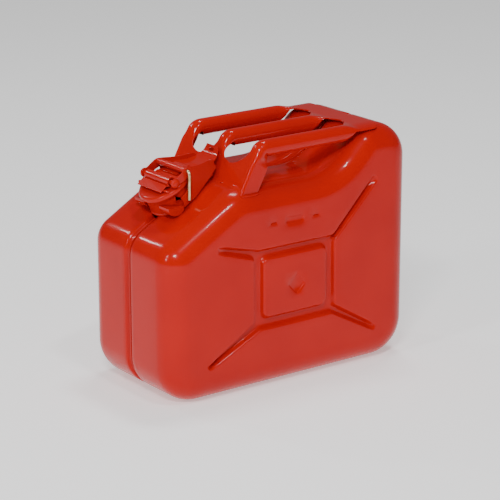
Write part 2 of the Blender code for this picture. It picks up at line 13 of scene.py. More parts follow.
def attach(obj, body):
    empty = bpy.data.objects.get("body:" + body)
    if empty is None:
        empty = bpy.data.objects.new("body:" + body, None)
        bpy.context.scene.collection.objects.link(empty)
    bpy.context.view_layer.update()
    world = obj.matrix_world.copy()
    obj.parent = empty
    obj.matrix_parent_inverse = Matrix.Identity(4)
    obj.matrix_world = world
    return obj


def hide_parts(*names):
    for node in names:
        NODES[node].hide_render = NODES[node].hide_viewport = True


MM = 0.001
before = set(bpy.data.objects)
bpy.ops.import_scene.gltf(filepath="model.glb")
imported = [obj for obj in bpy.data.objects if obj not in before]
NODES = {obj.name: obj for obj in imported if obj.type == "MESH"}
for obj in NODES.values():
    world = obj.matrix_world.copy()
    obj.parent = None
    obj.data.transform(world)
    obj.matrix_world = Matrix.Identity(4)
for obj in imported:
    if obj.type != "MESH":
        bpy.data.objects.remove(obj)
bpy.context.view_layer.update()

# The can's driving sizes, as in the frame.
LENGTH, WIDTH, TOP_Z, DECK_Z = 345.0, 165.0, 283.0, 237.0
EDGE_R, SEAM_DEPTH = 28.6, 4.5
HALF_LENGTH, HALF_WIDTH = LENGTH / 2, WIDTH / 2
SHOULDER_START_X, SHOULDER_FRONT_Z = -77.0, 180.6
SHOULDER_ANGLE = math.atan2(DECK_Z - SHOULDER_FRONT_Z, SHOULDER_START_X + HALF_LENGTH)
NECK_X = -110.0
NECK_Z = DECK_Z - (SHOULDER_START_X - NECK_X) * math.tan(SHOULDER_ANGLE)
BODY_CORNERS = [
    (-HALF_LENGTH, 0.0, 46.0, 16),
    (HALF_LENGTH, 0.0, 46.0, 16),
    (HALF_LENGTH, TOP_Z, 40.0, 16),
    (108.0, TOP_Z, 32.0, 10),
    (64.4, DECK_Z, 79.0, 14),
    (SHOULDER_START_X, DECK_Z, 50.0, 8),
    (-HALF_LENGTH, SHOULDER_FRONT_Z, 30.0, 12),
]
SIDES = {"near": -1, "far": 1}

# The closure's own axes: origin on the shoulder, z along the neck.
CLOSURE = (Matrix.Translation(Vector((NECK_X, 0, NECK_Z)) * MM)
           @ Matrix.Rotation(-SHOULDER_ANGLE, 4, "Y"))


# ---------------------------------------------------------------- materials

def noise(tree, coords, scale, detail=3.0):
    made = tree.nodes.new("ShaderNodeTexNoise")
    made.inputs["Scale"].default_value = scale
    made.inputs["Detail"].default_value = detail
    tree.links.new(coords, made.inputs["Vector"])
    return made.outputs["Fac"]


def ramp(tree, value, low, high, at=(0.0, 1.0)):
    made = tree.nodes.new("ShaderNodeValToRGB")
    for stop, colour, place in zip(made.color_ramp.elements, (low, high), at):
        stop.color = colour
        stop.position = place
    tree.links.new(value, made.inputs["Fac"])
    return made.outputs["Color"]


def spread(tree, value, low, high):
    """Map a 0 to 1 value onto low to high."""
    made = tree.nodes.new("ShaderNodeMapRange")
    made.inputs["To Min"].default_value = low
    made.inputs["To Max"].default_value = high
    tree.links.new(value, made.inputs["Value"])
    return made.outputs["Result"]


def bump(tree, height, strength, distance, below=None):
    made = tree.nodes.new("ShaderNodeBump")
    made.inputs["Strength"].default_value = strength
    made.inputs["Distance"].default_value = distance
    tree.links.new(height, made.inputs["Height"])
    if below is not None:
        tree.links.new(below, made.inputs["Normal"])
    return made.outputs["Normal"]


def new_material(name):
    material = bpy.data.materials.new(name)
    material.use_nodes = True
    tree = material.node_tree
    shader = tree.nodes["Principled BSDF"]
    coords = tree.nodes.new("ShaderNodeTexCoord").outputs["Object"]
    return material, tree, shader, coords


def gloss_paint(name, deep, bright, roughness, waviness):
    """Sprayed gloss enamel: slight orange peel, soft sheet ripple and a slow drift of colour."""
    material, tree, shader, coords = new_material(name)
    drift = noise(tree, coords, 14.0, 2.0)
    tree.links.new(ramp(tree, drift, deep, bright, (0.3, 0.7)), shader.inputs["Base Color"])
    haze = noise(tree, coords, 60.0, 4.0)
    tree.links.new(spread(tree, haze, roughness * 0.8, roughness * 1.3), shader.inputs["Roughness"])
    ripple = bump(tree, noise(tree, coords, 22.0, 1.0), waviness, 0.0012)
    peel = bump(tree, noise(tree, coords, 900.0, 1.0), 0.05, 0.0002, ripple)
    tree.links.new(peel, shader.inputs["Normal"])
    shader.inputs["Specular IOR Level"].default_value = 0.10
    shader.inputs["Coat Weight"].default_value = 0.20
    shader.inputs["Coat Roughness"].default_value = 0.03
    return material


def plated_metal(name, dull, bright, roughness):
    """Bright metal with a drifting tint and a fine grain."""
    material, tree, shader, coords = new_material(name)
    tree.links.new(ramp(tree, noise(tree, coords, 160.0, 3.0), dull, bright, (0.35, 0.65)),
                   shader.inputs["Base Color"])
    grain = noise(tree, coords, 700.0, 4.0)
    tree.links.new(spread(tree, grain, roughness * 0.7, roughness * 1.4), shader.inputs["Roughness"])
    tree.links.new(bump(tree, grain, 0.12, 0.0002), shader.inputs["Normal"])
    shader.inputs["Metallic"].default_value = 1.0
    return material


def black_rubber(name):
    material, tree, shader, coords = new_material(name)
    tone = noise(tree, coords, 200.0, 4.0)
    dark = ramp(tree, tone, (0.012, 0.012, 0.012, 1), (0.03, 0.03, 0.03, 1))
    tree.links.new(dark, shader.inputs["Base Color"])
    tree.links.new(bump(tree, noise(tree, coords, 1500.0), 0.2, 0.0003), shader.inputs["Normal"])
    shader.inputs["Roughness"].default_value = 0.62
    return material


BODY_PAINT = gloss_paint(
    "red_body_enamel", (0.47, 0.0040, 0.0016, 1), (0.52, 0.0055, 0.0022, 1), 0.20, 0.10)
HANDLE_PAINT = gloss_paint(
    "red_handle_enamel", (0.48, 0.0045, 0.0018, 1), (0.53, 0.0060, 0.0025, 1), 0.18, 0.08)
CLOSURE_PAINT = gloss_paint(
    "red_closure_enamel", (0.46, 0.0055, 0.0024, 1), (0.53, 0.0085, 0.0038, 1), 0.22, 0.15)
BEAD_PAINT = gloss_paint(
    "red_weld_enamel", (0.44, 0.0045, 0.0020, 1), (0.50, 0.0060, 0.0026, 1), 0.28, 0.35)
YELLOW_ZINC = plated_metal("yellow_zinc", (0.50, 0.36, 0.16, 1), (0.72, 0.60, 0.36, 1), 0.30)
BARE_STEEL = plated_metal("bare_steel", (0.42, 0.42, 0.43, 1), (0.60, 0.60, 0.61, 1), 0.35)
RUBBER = black_rubber("gasket_rubber")


# ---------------------------------------------------------------- mesh helpers

def corner_arc(before, corner, after, radius, segments, inset=0.0):
    """Points of a rounded polygon corner, moved inwards (to the left) by inset."""
    here = Vector(corner)
    towards = (here - Vector(before)).normalized()
    away = (Vector(after) - here).normalized()
    turn = math.atan2(towards.x * away.y - towards.y * away.x, towards.dot(away))
    side = math.copysign(1.0, turn)
    normal = Vector((-towards.y, towards.x)) * side
    centre = here - towards * (radius * math.tan(abs(turn) / 2)) + normal * radius
    reach = radius - inset * side
    return [tuple(centre + (Matrix.Rotation(turn * step / segments, 2) @ (-normal)) * reach)
            for step in range(segments + 1)]


def rounded_outline(corners, inset=0.0):
    """A closed outline with round corners, from (x, z, radius, segments) for each corner."""
    points = []
    for index, (x, z, radius, segments) in enumerate(corners):
        before = corners[index - 1][:2]
        after = corners[(index + 1) % len(corners)][:2]
        points += corner_arc(before, (x, z), after, radius, segments, inset)
    return points


def fill_in(points, spacing):
    """Add even points along the long sides of a closed outline."""
    full = []
    for here, after in zip(points, points[1:] + points[:1]):
        count = max(1, round(math.dist(here, after) / spacing))
        for step in range(count):
            t = step / count
            full.append((here[0] + (after[0] - here[0]) * t, here[1] + (after[1] - here[1]) * t))
    return full


def ease(t):
    """A smooth step from 0 to 1."""
    t = min(1.0, max(0.0, t))
    return t * t * (3 - 2 * t)


def finish_piece(name, bm, material, body, replaces=(), sharp=40.0):
    """Turn a bmesh drawn in metres into a riding piece with its material."""
    mesh = bpy.data.meshes.new(name)
    bm.to_mesh(mesh)
    bm.free()
    mesh.shade_smooth()
    mesh.set_sharp_from_angle(angle=math.radians(sharp))
    mesh.materials.append(material)
    piece = bpy.data.objects.new(name, mesh)
    bpy.context.scene.collection.objects.link(piece)
    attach(piece, body)
    if replaces:
        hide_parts(*replaces)
    return piece


def grid_faces(bm, rows, closed=False):
    """Quads between rows of vertices, which are rings when closed."""
    for lower, upper in zip(rows, rows[1:]):
        count = len(lower)
        for index in range(count if closed else count - 1):
            after = (index + 1) % count
            corners = (lower[index], lower[after], upper[after], upper[index])
            if len(set(corners)) == 4:
                bm.faces.new(corners)


# ---------------------------------------------------------------- body

BODY_SHEET = 1.0
OUTLINE_SPACING, CHANNEL_SPACING, PANEL_SPACING = 14.0, 5.0, 9.0
PANEL_CLEARANCE = 4.0
NECK_HOLE_R, NECK_HOLE_DEPTH = 23.8, 12.0
EDGE_STEPS = 14
CHANNEL_DEPTH = 6.0
TIP_DEPTH_SHARE, FADE = 0.25, 16.0
MARK_POINTS = 28
ARM_R, RING_R, ELBOW_R = 3.4, 7.0, 5.0
CHANNEL_CORNERS = [
    (-121.0, 43.0, ARM_R, 5),
    (-122.5, 37.0, ARM_R, 5),
    (-47.5, 72.5, ELBOW_R, 4),
    (54.5, 72.5, ELBOW_R, 4),
    (121.0, 37.0, ARM_R, 5),
    (120.0, 45.0, ARM_R, 5),
    (58.8, 81.5, ELBOW_R, 4),
    (58.3, 160.5, ELBOW_R, 4),
    (119.0, 221.0, ARM_R, 5),
    (118.5, 232.0, ARM_R, 5),
    (56.0, 166.5, ELBOW_R, 4),
    (-48.5, 166.5, ELBOW_R, 4),
    (-107.0, 180.9, ARM_R, 5),
    (-106.5, 172.8, ARM_R, 5),
    (-56.5, 157.5, ELBOW_R, 4),
    (-56.0, 82.0, ELBOW_R, 4),
]
PLATE_LEFT, PLATE_RIGHT, PLATE_LOW, PLATE_HIGH = -43.0, 46.0, 85.5, 155.0
PLATE_CORNERS = [
    (PLATE_LEFT, PLATE_LOW, RING_R, 6),
    (PLATE_RIGHT, PLATE_LOW, RING_R, 6),
    (PLATE_RIGHT, PLATE_HIGH, RING_R, 6),
    (PLATE_LEFT, PLATE_HIGH, RING_R, 6),
]
# How far in from the channel's edge, and what share of the depth is reached there.
WALL_STEPS = [(-2.0, 0.0), (-1.2, 0.03), (-0.5, 0.12), (0.3, 0.32),
              (1.1, 0.58), (1.9, 0.82), (2.6, 0.96), (3.1, 1.0)]
# Marks pressed into the panel: (x, z, length, width), and their wall as (inset, depth).
MARKS = [(-30.0, 195.0, 9.0, 3.0), (0.0, 195.0, 26.0, 9.0), (30.0, 195.0, 9.0, 3.0),
         (3.0, 118.0, 24.0, 24.0)]
MARK_STEPS = [(0.0, 0.0), (0.6, 0.35), (1.2, 1.0), (1.8, 1.3)]
MARK_CLEARANCE = 2.0
ARM_TIPS = [(-121.8, 40.0), (120.5, 41.0), (118.8, 226.5), (-106.8, 176.9)]


def channel_depth(place, share):
    """Depth of a point in a channel; the arms run out softly at their tips."""
    nearest = min(math.dist(place, tip) for tip in ARM_TIPS)
    return CHANNEL_DEPTH * share * (TIP_DEPTH_SHARE + (1 - TIP_DEPTH_SHARE) * ease(nearest / FADE))


def body_sections():
    """(distance from the middle plane, inset) from the weld to the edge of the side panel."""
    flat_end = HALF_WIDTH - EDGE_R
    sections = [(0.15, SEAM_DEPTH), (1.6, SEAM_DEPTH), (2.6, SEAM_DEPTH - 0.3), (3.6, SEAM_DEPTH - 1.4),
                (4.6, 1.4), (5.6, 0.3), (6.8, 0.0), (12.0, 0.0), (26.0, 0.0), (40.0, 0.0), (flat_end, 0.0)]
    for step in range(1, EDGE_STEPS + 1):
        angle = math.radians(90 * step / EDGE_STEPS)
        sections.append((flat_end + EDGE_R * math.sin(angle), EDGE_R * (1 - math.cos(angle))))
    return sections


def inside(place, loop):
    """Whether a point lies inside a closed outline."""
    x, z = place
    hit = False
    for (x0, z0), (x1, z1) in zip(loop, loop[1:] + loop[:1]):
        if (z0 > z) != (z1 > z) and x < (x1 - x0) * (z - z0) / (z1 - z0) + x0:
            hit = not hit
    return hit


def mark_outline(mark, inset):
    """A plain pressed mark: a lozenge when square, a round-cornered dash otherwise."""
    x, z, length, width = mark
    power = 0.4 if length > width else 1.7
    points = []
    for step in range(MARK_POINTS):
        angle = 2 * math.pi * step / MARK_POINTS
        c, s = math.cos(angle), math.sin(angle)
        points.append((x + math.copysign(abs(c) ** power, c) * (length / 2 - inset),
                       z + math.copysign(abs(s) ** power, s) * (width / 2 - inset)))
    return points


def in_mark(place):
    """Whether a point is on a mark or close to its edge."""
    for x, z, length, width in MARKS:
        beside = abs(place[0] - x) < length / 2 + MARK_CLEARANCE
        if beside and abs(place[1] - z) < width / 2 + MARK_CLEARANCE:
            return True
    return False


def panel_grid(rim_loop):
    """Even points over the flat stretches of the side panel."""
    outer = rounded_outline(CHANNEL_CORNERS, WALL_STEPS[0][0] - PANEL_CLEARANCE)
    inner = rounded_outline(PLATE_CORNERS, -WALL_STEPS[0][0] + PANEL_CLEARANCE)
    grid = []
    for column in range(-20, 21):
        for row in range(0, 34):
            place = (column * PANEL_SPACING + (row % 2) * PANEL_SPACING / 2, row * PANEL_SPACING)
            flat = inside(place, inner) or not inside(place, outer)
            if flat and inside(place, rim_loop) and not in_mark(place):
                grid.append(place)
    return grid


def side_panel(bm, side, rim):
    """The side panel inside the rim loop, with its channels and marks pressed in."""
    places = [Vector((v.co.x / MM, v.co.z / MM)) for v in rim]
    depths = [0.0] * len(places)
    edges = [(i, (i + 1) % len(rim)) for i in range(len(rim))]

    def add_loop(points, share):
        first = len(places)
        for point in points:
            places.append(Vector(point))
            depths.append(channel_depth(point, share))
        count = len(points)
        edges.extend((first + i, first + (i + 1) % count) for i in range(count))

    for offset, share in WALL_STEPS:
        add_loop(fill_in(rounded_outline(CHANNEL_CORNERS, offset), CHANNEL_SPACING), share)
        add_loop(fill_in(rounded_outline(PLATE_CORNERS, -offset), CHANNEL_SPACING), share)
    for mark in MARKS:
        for offset, depth in MARK_STEPS:
            add_loop(mark_outline(mark, offset), 0.0)
            depths[-MARK_POINTS:] = [depth] * MARK_POINTS
    for place in panel_grid([tuple(p) for p in places[:len(rim)]]):
        places.append(Vector(place))
        depths.append(0.0)
    verts, _, faces, origins, _, _ = delaunay_2d_cdt(places, edges, [], 1, 1e-6)
    made = []
    for vert, origin in zip(verts, origins):
        if origin and origin[0] < len(rim):
            made.append(rim[origin[0]])
        else:
            depth = depths[origin[0]] if origin else 0.0
            made.append(bm.verts.new((vert.x * MM, side * (HALF_WIDTH - depth) * MM, vert.y * MM)))
    for face in faces:
        corners = [made[i] for i in face]
        if len(set(corners)) == len(corners):
            bm.faces.new(corners)


def body_outline(inset):
    """The body's outline at an inset; every inset gives the same number of points."""
    base = rounded_outline(BODY_CORNERS, 0.0)
    moved = rounded_outline(BODY_CORNERS, inset)
    full = []
    for index, here in enumerate(base):
        after = base[(index + 1) % len(base)]
        count = max(1, round(math.dist(here, after) / OUTLINE_SPACING))
        start, end = Vector(moved[index]), Vector(moved[(index + 1) % len(moved)])
        full += [tuple(start.lerp(end, step / count)) for step in range(count)]
    return full


def cut_neck_hole(bm):
    """Remove the shoulder's faces inside the neck."""
    inverse = CLOSURE.inverted()
    doomed = []
    for face in bm.faces:
        local = inverse @ face.calc_center_median() / MM
        if math.hypot(local.x, local.y) < NECK_HOLE_R and abs(local.z) < NECK_HOLE_DEPTH:
            doomed.append(face)
    bmesh.ops.delete(bm, geom=doomed, context="FACES")


def body_half(label, side):
    """One pressed half of the can: rings from the weld out to the side panel."""
    bm = bmesh.new()
    rings = []
    for depth, inset in body_sections():
        rings.append([bm.verts.new((x * MM, side * depth * MM, z * MM)) for x, z in body_outline(inset)])
    grid_faces(bm, rings, closed=True)
    side_panel(bm, side, rings[-1])
    bmesh.ops.recalc_face_normals(bm, faces=bm.faces)
    outward = sum(f.normal.y * f.calc_area() for f in bm.faces) * side
    if outward < 0:
        bmesh.ops.reverse_faces(bm, faces=bm.faces)
    cut_neck_hole(bm)
    piece = finish_piece("can_shell_" + label, bm, BODY_PAINT, "root", ["body_half_" + label])
    sheet = piece.modifiers.new("sheet", "SOLIDIFY")
    sheet.thickness = BODY_SHEET * MM
    sheet.offset = -1.0


# ---------------------------------------------------------------- handle

BAR_R, BAR_STEP, BAR_TOP = 9.6, 62.0, 287.4
SHEET_T = 1.5
LEAN = math.atan(0.53)
FRONT_TOP, FOOT_Z = (-43.3, 278.0), DECK_Z + 0.9
FOOT = (FRONT_TOP[0] - (FRONT_TOP[1] - FOOT_Z) * math.tan(LEAN), FOOT_Z)
SCALLOP_S, COLUMN_S = 23.4, 44.0
CROWN_R = 18.0
BAR_YS = (-BAR_STEP, 0.0, BAR_STEP)
ROOT_X, TUBE_END_X, REAR_X, PLATE_HALF, PLATE_CORNER = 105.0, 80.0, 131.0, 72.0, 9.4
PLATE_TOP = 284.75
RISE_STEPS, BEND_STEPS, TUBE_STEPS, FLATTEN_STEPS = 14, 7, 9, 14
FLAT_STEPS, ROLL_STEPS, TAIL_STEPS = 8, 20, 4
REAR_DROP_SHARE = 0.6
LIP_OUT, LIP_DOWN = 3.0, 1.2


def crown_path():
    """The handle's outer line in the XZ plane, from the foot to the rear edge.

    Each entry is (stage, share of the stage, place, direction).
    """
    up = Vector((math.sin(LEAN), math.cos(LEAN)))
    start = Vector(FOOT)
    turn = math.pi / 2 - LEAN
    tangent = CROWN_R * math.tan(turn / 2)
    rise = (BAR_TOP - FOOT[1]) / up.y - tangent
    rows = [("plate", s / SCALLOP_S, start + up * s, up) for s in (0.0, 3.0, 7.0, 11.0, 15.0, 19.0, 22.0)]
    for step in range(RISE_STEPS + 1):
        tau = 1 - math.cos(math.pi / 2 * step / RISE_STEPS)
        along = SCALLOP_S + tau * (COLUMN_S - SCALLOP_S)
        rows.append(("rise", tau, along, None))
    placed = []
    centre = start + up * rise + Vector((up.y, -up.x)) * CROWN_R
    for stage, share, place, direction in rows:
        if direction is None:
            along = place
            if along <= rise:
                place, direction = start + up * along, up
            else:
                angle = (along - rise) / CROWN_R
                spoke = Matrix.Rotation(-angle, 2) @ Vector((-up.y, up.x))
                place, direction = centre + spoke * CROWN_R, Vector((spoke.y, -spoke.x))
        placed.append((stage, share, place, direction))
    done = max(0.0, COLUMN_S - rise) / CROWN_R
    for step in range(1, BEND_STEPS + 1):
        angle = done + (turn - done) * step / BEND_STEPS
        spoke = Matrix.Rotation(-angle, 2) @ Vector((-up.y, up.x))
        placed.append(("bend", step / BEND_STEPS, centre + spoke * CROWN_R, Vector((spoke.y, -spoke.x))))
    bend_x = placed[-1][2].x
    ahead = Vector((1, 0))
    for step in range(1, TUBE_STEPS + 1):
        x = bend_x + (TUBE_END_X - bend_x) * step / TUBE_STEPS
        placed.append(("tube", 0.0, Vector((x, BAR_TOP)), ahead))
    for step in range(1, FLATTEN_STEPS + 1):
        tau = math.sin(math.pi / 2 * step / FLATTEN_STEPS)
        x = TUBE_END_X + (ROOT_X - TUBE_END_X) * tau
        z = BAR_TOP + (PLATE_TOP - BAR_TOP) * ease(tau)
        placed.append(("flatten", tau, Vector((x, z)), ahead))
    for x in (108.0, 113.0, 118.0, 121.6, 123.5, 126.0, 128.4, 130.0, 130.8, REAR_X):
        placed.append(("rear", 0.0, Vector((x, PLATE_TOP)), ahead))
    return placed


def half_section(reach, radius, angle, tail):
    """(sideways, backwards) points from the crown line out to the sheet's edge."""
    bend = math.radians(angle)
    flat = max(0.0, reach - radius * math.sin(min(bend, math.pi / 2)))
    points = [(flat * step / FLAT_STEPS, 0.0) for step in range(FLAT_STEPS + 1)]
    for step in range(1, ROLL_STEPS + 1):
        a = bend * step / ROLL_STEPS
        points.append((flat + radius * math.sin(a), radius * (1 - math.cos(a))))
    x, back = points[-1]
    for step in range(1, TAIL_STEPS + 1):
        run = tail * step / TAIL_STEPS
        points.append((x + run * math.cos(bend), back + run * math.sin(bend)))
    return points


def scallop_reach(tau):
    """Half-width of a strip beside a round-bottomed opening, from its root (0) to the tube (1)."""
    return BAR_R + (BAR_STEP / 2 - BAR_R) * (1 - math.sqrt(max(0.0, 1 - (1 - tau) ** 2)))


def strip_half(stage, share, x, outer):
    """Section measures of one half of a strip: (reach, radius, angle, tail)."""
    if stage == "plate":
        return (BAR_R, 3.6, 90.0, 17.5) if outer else (BAR_STEP / 2, 3.0, 0.0, 0.0)
    if stage == "rise":
        if outer:
            e = ease((share - 0.35) / 0.65)
            return (BAR_R, 3.6 + 4.2 * e, 90.0 + 28 * e, 17.5 - 9.5 * e)
        return (scallop_reach(share), 3.0 + 5.4 * share, 4.0 + 88.0 * share, 0.0)
    if stage == "bend":
        e = ease(share)
        if outer:
            return (BAR_R, 7.8 + 1.8 * e, 118.0 + 59 * e, 8.0 * (1 - e))
        return (BAR_R, 8.4 + 1.2 * e, 92.0 + 85 * e, 0.0)
    if stage == "tube":
        return (BAR_R, BAR_R, 177.0, 0.0)
    if stage == "flatten":
        e = ease(share * 1.15)
        if outer:
            return (BAR_R + 0.4 * e, BAR_R - 6.0 * e, 177.0 - 127.0 * e, 0.0)
        return (scallop_reach(1 - share), BAR_R - 6.6 * e, max(0.0, 177.0 - 177.0 * e), 0.0)
    if outer:
        corner = max(0.0, x - (REAR_X - PLATE_CORNER))
        cut = PLATE_CORNER - math.sqrt(max(0.0, PLATE_CORNER ** 2 - corner ** 2))
        return (PLATE_HALF - BAR_STEP - cut, 3.0, 50.0 if cut < 3 else 12.0, 0.0)
    return (BAR_STEP / 2, 3.0, 0.0, 0.0)


def edge_drop(y):
    """How far the body's edge rounding lies below its flat top at y."""
    beyond = min(EDGE_R, max(0.0, abs(y) - (HALF_WIDTH - EDGE_R)))
    return EDGE_R - math.sqrt(EDGE_R ** 2 - beyond ** 2)


def handle_pressing():
    """The handle as one sheet: three strips side by side along the crown line, joined at their edges."""
    bm = bmesh.new()
    path = crown_path()
    for y0 in BAR_YS:
        rows = []
        for stage, share, place, direction in path:
            inward = Vector((direction.y, -direction.x))
            halves = []
            for side in (-1, 1):
                outer = abs(y0) > 1 and side * y0 > 0
                halves.append([(side * across, back) for across, back in
                               half_section(*strip_half(stage, share, place.x, outer))])
            row = []
            for across, back in halves[0][::-1] + halves[1][1:]:
                y = y0 + across
                spot = place + inward * back
                if stage == "plate":
                    spot = spot - direction * (edge_drop(y) / direction.y * (1 - share))
                if stage in ("flatten", "rear"):
                    share_down = REAR_DROP_SHARE * (ease(share) if stage == "flatten" else 1.0)
                    spot = spot - Vector((0, edge_drop(y) * share_down))
                row.append(bm.verts.new((spot.x * MM, y * MM, spot.y * MM)))
            rows.append(row)
        grid_faces(bm, rows)
        lip = []
        foot_row = rows[0]
        for index, vert in enumerate(foot_row):
            before = foot_row[max(index - 1, 0)].co
            after = foot_row[min(index + 1, len(foot_row) - 1)].co
            run = after - before
            outward = Vector((-run.y, run.x, 0)).normalized()
            lip.append(bm.verts.new(vert.co + outward * LIP_OUT * MM + Vector((0, 0, -LIP_DOWN * MM))))
        grid_faces(bm, [lip, foot_row])
    bmesh.ops.remove_doubles(bm, verts=bm.verts, dist=0.02 * MM)
    bmesh.ops.dissolve_degenerate(bm, edges=bm.edges, dist=0.001 * MM)
    bmesh.ops.recalc_face_normals(bm, faces=bm.faces)
    up = sum(f.normal.z * f.calc_area() for f in bm.faces if f.calc_center_median().x > 0.11)
    if up < 0:
        bmesh.ops.reverse_faces(bm, faces=bm.faces)
    piece = finish_piece("handle_pressing", bm, HANDLE_PAINT, "root",
                         ["handle_front_plate", "handle_bar_near", "handle_bar_centre", "handle_bar_far",
                          "handle_rear_plate"], sharp=60)
    sheet = piece.modifiers.new("sheet", "SOLIDIFY")
    sheet.thickness = SHEET_T * MM
    sheet.offset = -1.0
    edge = piece.modifiers.new("edge", "BEVEL")
    edge.width = 0.4 * MM
    edge.segments = 2
    edge.angle_limit = math.radians(50)


LIP_LENGTH, LIP_STEPS, LIP_SPOKES = 26.0, 18, 12
LIP_WIDTH, LIP_HEIGHT = 2.3, 1.3


def leg_feet():
    """Rolled weld lips at the foot of each leg's side flange, thinner towards both ends."""
    for label, side in SIDES.items():
        bm = bmesh.new()
        rows = []
        for step in range(LIP_STEPS + 1):
            t = step / LIP_STEPS
            x = FOOT[0] - 3.6 + LIP_LENGTH * t
            y = side * (BAR_STEP + BAR_R + 0.7 + 0.8 * math.sin(math.pi * t))
            z = DECK_Z - edge_drop(y) - 0.2
            width = LIP_WIDTH * math.sin(math.pi * (0.12 + 0.76 * t)) ** 0.5
            height = LIP_HEIGHT * width / LIP_WIDTH
            row = []
            for spoke in range(LIP_SPOKES):
                angle = 2 * math.pi * spoke / LIP_SPOKES
                row.append(bm.verts.new((x * MM, (y + side * width * math.cos(angle)) * MM,
                                         (z + height * math.sin(angle)) * MM)))
            rows.append(row)
        grid_faces(bm, rows, closed=True)
        bm.faces.new(rows[0])
        bm.faces.new(rows[-1])
        bmesh.ops.recalc_face_normals(bm, faces=bm.faces)
        finish_piece("leg_foot_" + label, bm, HANDLE_PAINT, "root", sharp=70)


# ---------------------------------------------------------------- closure

TURN_STEPS, PROFILE_STEPS = 96, 3


def turned(name, profile, material, body, replaces):
    """Spin a profile of (radius, height) round the neck's axis."""
    bm = bmesh.new()
    rows = []
    for radius, height in profile:
        row = []
        for step in range(TURN_STEPS):
            angle = 2 * math.pi * step / TURN_STEPS
            spot = CLOSURE @ (Vector((radius * math.cos(angle), radius * math.sin(angle), height)) * MM)
            row.append(bm.verts.new(spot))
        rows.append(row)
    grid_faces(bm, rows, closed=True)
    bmesh.ops.remove_doubles(bm, verts=bm.verts, dist=0.001 * MM)
    bmesh.ops.recalc_face_normals(bm, faces=bm.faces)
    finish_piece(name, bm, material, body, replaces, sharp=50)


def smooth_profile(points):
    """Catmull-Rom points through a coarse profile."""
    full = []
    for index in range(len(points) - 1):
        p0 = Vector(points[max(index - 1, 0)])
        p1, p2 = Vector(points[index]), Vector(points[index + 1])
        p3 = Vector(points[min(index + 2, len(points) - 1)])
        for step in range(PROFILE_STEPS):
            t = step / PROFILE_STEPS
            full.append(tuple(0.5 * ((2 * p1) + (p2 - p0) * t + (2 * p0 - 5 * p1 + 4 * p2 - p3) * t * t
                                     + (3 * p1 - p0 - 3 * p2 + p3) * t ** 3)))
    full.append(tuple(points[-1]))
    return full


def make_neck_and_cup():
    neck = smooth_profile([(28.4, 0.4), (28.3, 1.4), (27.9, 2.4), (27.5, 4.0), (27.5, 12.0), (27.5, 21.0),
                           (27.9, 22.4), (28.0, 23.4), (27.4, 24.2), (26.4, 24.2), (25.9, 23.0), (25.9, 8.0),
                           (25.9, -6.8)])
    turned("filler_neck", neck, CLOSURE_PAINT, "root", ["neck"])
    cup = [(29.7, 22.1), (30.9, 22.1), (30.95, 23.4), (30.6, 25.2), (29.8, 26.5), (28.3, 27.4), (25.0, 27.9),
           (15.0, 27.95), (2.0, 27.95), (0.0, 27.95)]
    under = [(0.0, 26.9), (15.0, 26.9), (24.0, 26.8), (27.5, 26.2), (29.1, 25.2), (29.7, 24.0), (29.7, 22.1)]
    cap = smooth_profile(cup) + smooth_profile(under)
    turned("lid_cap", cap, CLOSURE_PAINT, "lid", ["lid_cup"])


def soft_copy(node_name, piece_name, material, body, width, segments=3):
    """A finished copy of a frame node with its sharp edges rolled over."""
    bm = bmesh.new()
    bm.from_mesh(NODES[node_name].data)
    bmesh.ops.remove_doubles(bm, verts=bm.verts, dist=0.004 * MM)
    bmesh.ops.dissolve_limit(bm, angle_limit=math.radians(1.0), verts=bm.verts, edges=bm.edges)
    piece = finish_piece(piece_name, bm, material, body, [node_name], sharp=42)
    edge = piece.modifiers.new("edge", "BEVEL")
    edge.width = width * MM
    edge.segments = segments
    edge.angle_limit = math.radians(38)
    edge.harden_normals = True


# The lever in closure coordinates: u along the shoulder, y across, w up from it.
PIVOT, LOCK, LUG = (-1.0, 33.0), (19.5, 33.8), (-16.5, 9.0)
WALL_OUT, WALL_T, TAPER_U, TAPER = 30.5, 1.5, 12.0, 0.266
TROUGH_OVERLAP = 0.4
TAB_U, TAB_HALF, TAB_TAPER = 58.5, 17.9, 0.42
SLOT_START, SLOT_END, SLOT_HALF = (69.9, 14.8), (73.1, 17.0), 4.0
WEB_HALF_T = 0.7
KNUCKLE_R, KNUCKLE_BORE_R = 3.8, 2.25


def arc(centre, radius, start, end, segments):
    """Points on an arc, angles in degrees."""
    points = []
    for step in range(segments + 1):
        angle = math.radians(start + (end - start) * step / segments)
        points.append((centre[0] + radius * math.cos(angle), centre[1] + radius * math.sin(angle)))
    return points


def wall_outline():
    """Side wall of the lever in closure coordinates, with its hook round the lug."""
    top = smooth_profile([(5.0, 36.4), (12.0, 37.2), (19.0, 38.0), (26.0, 34.4), (34.0, 29.2), (45.0, 23.2),
                          (52.0, 20.6), (58.0, 17.4)])
    rear = smooth_profile([(59.3, 14.0), (57.6, 10.0), (58.0, 7.5), (55.5, 5.0)])
    foot = [(42.0, 3.0), (15.0, 1.5), (-4.0, 1.3)]
    hook = arc(LUG, 13.2, -34, 52, 14)
    notch = arc(PIVOT, 19.4, -118, -16, 16)
    nose = arc(PIVOT, 5.4, 215, 50, 14)
    return nose + top + rear + foot + hook + [(-8.6, 20.2)] + notch + [(10.5, 27.5), (2.5, 28.4)]


def trough_half(u):
    """Half-width between the lever's side walls at u, a little into their sheet."""
    return WALL_OUT - WALL_T - max(0.0, u - TAPER_U) * TAPER + TROUGH_OVERLAP


